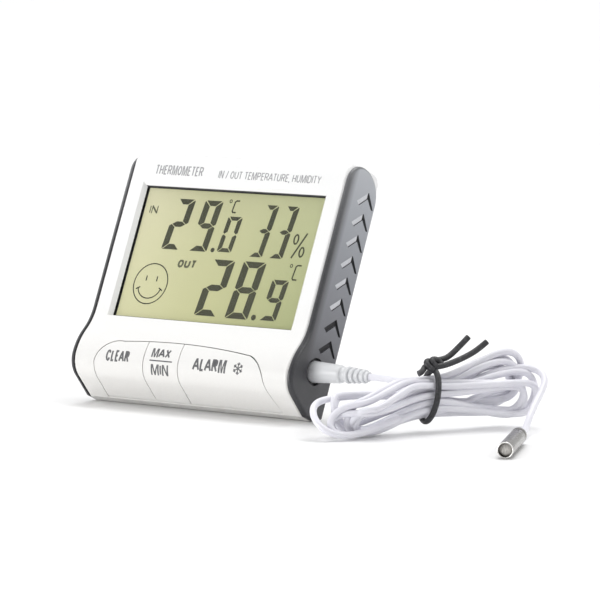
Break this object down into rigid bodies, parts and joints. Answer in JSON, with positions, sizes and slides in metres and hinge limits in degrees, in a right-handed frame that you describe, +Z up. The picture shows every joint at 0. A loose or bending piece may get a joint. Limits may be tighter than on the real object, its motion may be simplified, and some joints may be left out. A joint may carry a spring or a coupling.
{
  "type": "maximum minimum thermometer",
  "caption": "Desktop digital thermometer and humidity gauge with a large display, front keys, fold-out stand and a remote sensor on a tied cord.",
  "frame": {"origin": "centre of the footprint of the leaning case and its open stand, on the table top", "axes": "+X to the right of someone facing the display, -Y out of the display's side, +Z up"},
  "size_m": [0.2258, 0.0849, 0.096],
  "materials": {
    "case_white": "fine satin moulded shell",
    "grip_grey": "fine matte side grip",
    "display_pane": "clear polished pane",
    "display_face": "yellow-green reflective display",
    "contact_rubber": "layered contact strip",
    "circuit_board": "solder-masked board",
    "black_resin": "cured resin drop",
    "switch_black": "plain moulded",
    "sensor_white": "plain moulded",
    "battery_jacket": "printed shrink jacket with no text",
    "contact_steel": "nickel-plated spring steel",
    "wire_red": "insulated wire",
    "screw_steel": "zinc-plated",
    "key_white": "satin key cap with grey lettering",
    "plug_brass": "plated contact pin",
    "cord_white": "soft white vinyl",
    "tie_black": "coated wire tie",
    "probe_steel": "drawn metal sleeve, slightly tarnished"
  },
  "bodies": {
    "case": {"front_cover": "case_white", "rear_cover": "case_white", "side_grip_left": "grip_grey", "side_grip_right": "grip_grey", "lcd_window": "display_pane", "lcd_panel": "display_face", "lcd_rails": "case_white", "zebra_strips": "contact_rubber", "main_board": "circuit_board", "chip_blob": "black_resin", "tact_switches": "switch_black", "buzzer": "switch_black", "humidity_sensor": "sensor_white", "room_thermistor": "black_resin", "jack_socket": "switch_black", "battery_cell": "battery_jacket", "battery_spring": "contact_steel", "battery_plate": "contact_steel", "battery_wires": "wire_red", "case_screws": "screw_steel", "board_screws": "screw_steel"},
    "clear_key": {"clear_key": "key_white"},
    "max_min_key": {"max_min_key": "key_white"},
    "alarm_key": {"alarm_key": "key_white"},
    "unit_key": {"unit_key": "switch_black"},
    "battery_door": {"battery_door": "case_white"},
    "kickstand": {"kickstand": "case_white"},
    "sensor_lead": {"plug_barrel": "cord_white", "plug_pin": "plug_brass", "plug_boot": "cord_white", "cord_lead": "cord_white", "cord_hank": "cord_white", "cord_tail": "cord_white", "twist_tie": "tie_black", "probe_sleeve": "probe_steel"}
  },
  "joints": [
    {"name": "clear_press", "type": "slide", "parent": "case", "child": "clear_key", "axis": [0, 0.9157, -0.4019], "range_m": [0, 0.0008], "stiffness_N_per_m": 800, "springref_m": -0.0008},
    {"name": "max_min_press", "type": "slide", "parent": "case", "child": "max_min_key", "axis": [0, 0.9157, -0.4019], "range_m": [0, 0.0008], "stiffness_N_per_m": 800, "springref_m": -0.0008},
    {"name": "alarm_press", "type": "slide", "parent": "case", "child": "alarm_key", "axis": [0, 0.9157, -0.4019], "range_m": [0, 0.0008], "stiffness_N_per_m": 800, "springref_m": -0.0008},
    {"name": "unit_press", "type": "slide", "parent": "case", "child": "unit_key", "axis": [0, -0.9157, 0.4019], "range_m": [0, 0.0006], "stiffness_N_per_m": 800, "springref_m": -0.0006},
    {"name": "door_swing", "type": "hinge", "parent": "case", "child": "battery_door", "pos_m": [-0.0375, 0.01819, 0.06258], "axis": [1, 0, 0], "range_deg": [0, 80]},
    {"name": "stand_fold", "type": "hinge", "parent": "case", "child": "kickstand", "pos_m": [0, 0.01305, 0.05572], "axis": [1, 0, 0], "range_deg": [-35.7, 0]},
    {"name": "plug_pull", "type": "slide", "parent": "case", "child": "sensor_lead", "axis": [1, 0, 0], "range_m": [0, 0.018]}
  ]
}
